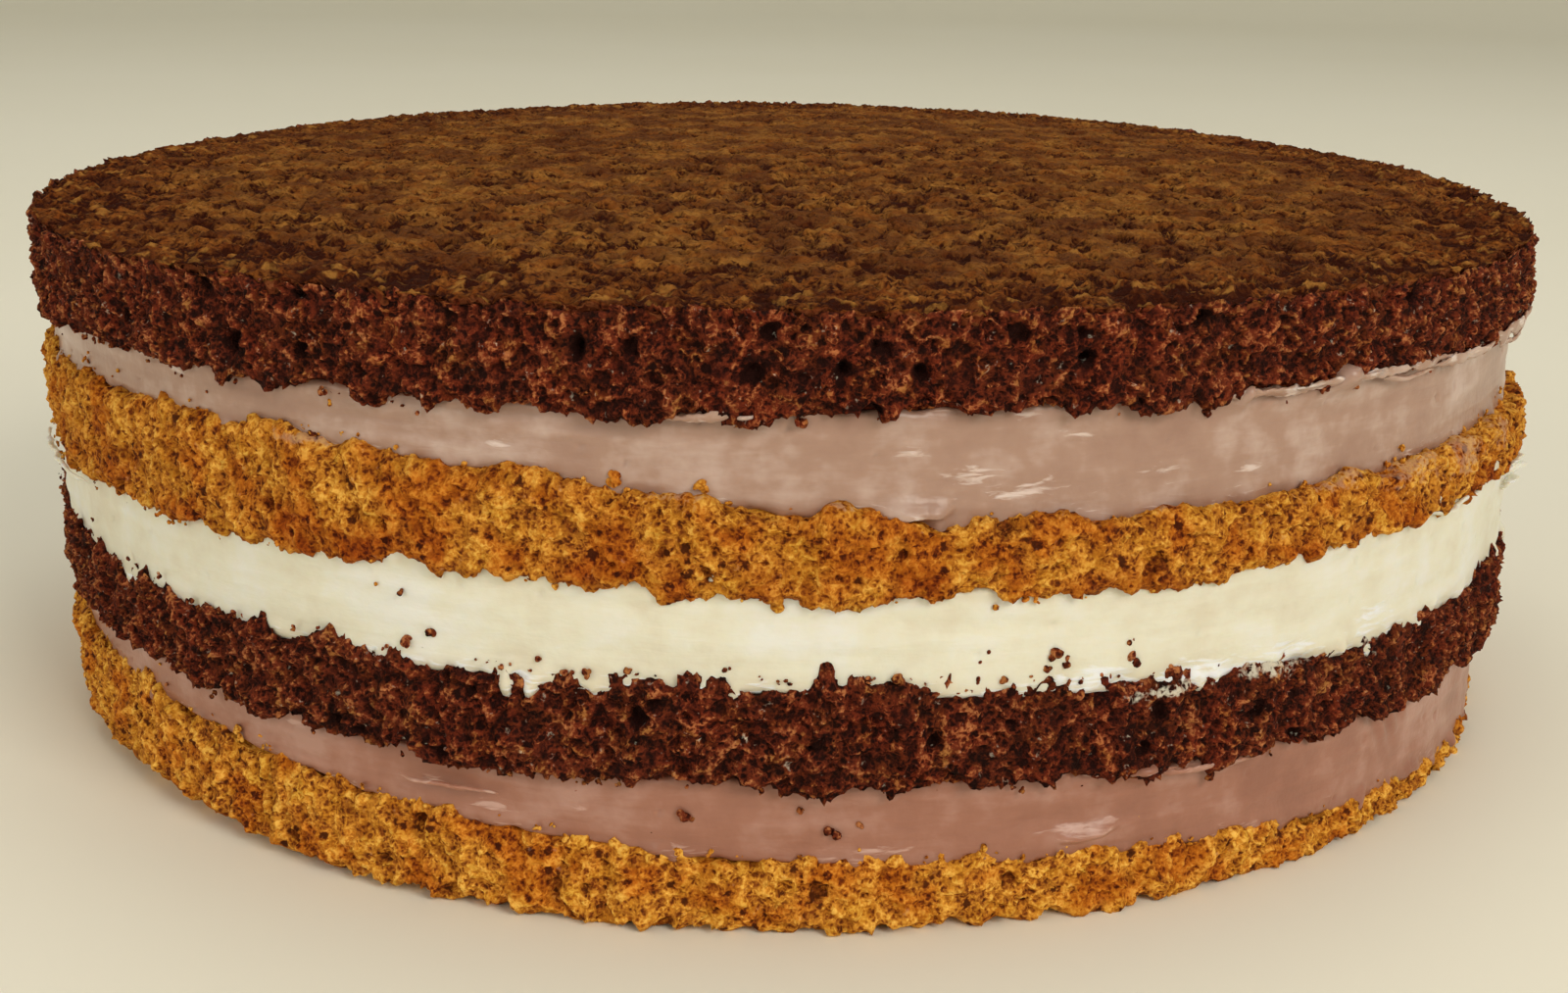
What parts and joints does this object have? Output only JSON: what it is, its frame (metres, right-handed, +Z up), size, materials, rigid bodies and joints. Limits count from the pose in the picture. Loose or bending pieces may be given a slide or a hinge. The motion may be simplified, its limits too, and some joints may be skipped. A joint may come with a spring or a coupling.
{
  "type": "layer cake",
  "caption": "Round, uncut and undecorated layer cake: sponge discs in golden and cocoa with cocoa and vanilla creams between them, all showing at the side.",
  "frame": {"origin": "middle of the cake's flat underside, at the table", "axes": "+Z up through the layers, -Y towards the front, +X to the right as seen from the front"},
  "size_m": [0.2652, 0.2648, 0.0898],
  "materials": {
    "golden_sponge": "torn open crumb of a golden sponge, dry and matte",
    "cocoa_sponge": "torn open crumb of a cocoa sponge with a baked skin on top, dry and matte",
    "cocoa_cream": "smooth spread cocoa cream with a soft wet sheen",
    "vanilla_cream": "smooth spread vanilla cream with a soft sheen"
  },
  "bodies": {
    "root": {"sponge_golden_base": "golden_sponge", "cream_cocoa_lower": "cocoa_cream", "sponge_cocoa_middle": "cocoa_sponge", "cream_vanilla": "vanilla_cream", "sponge_golden_upper": "golden_sponge", "cream_cocoa_upper": "cocoa_cream", "sponge_cocoa_top": "cocoa_sponge"}
  },
  "joints": []
}
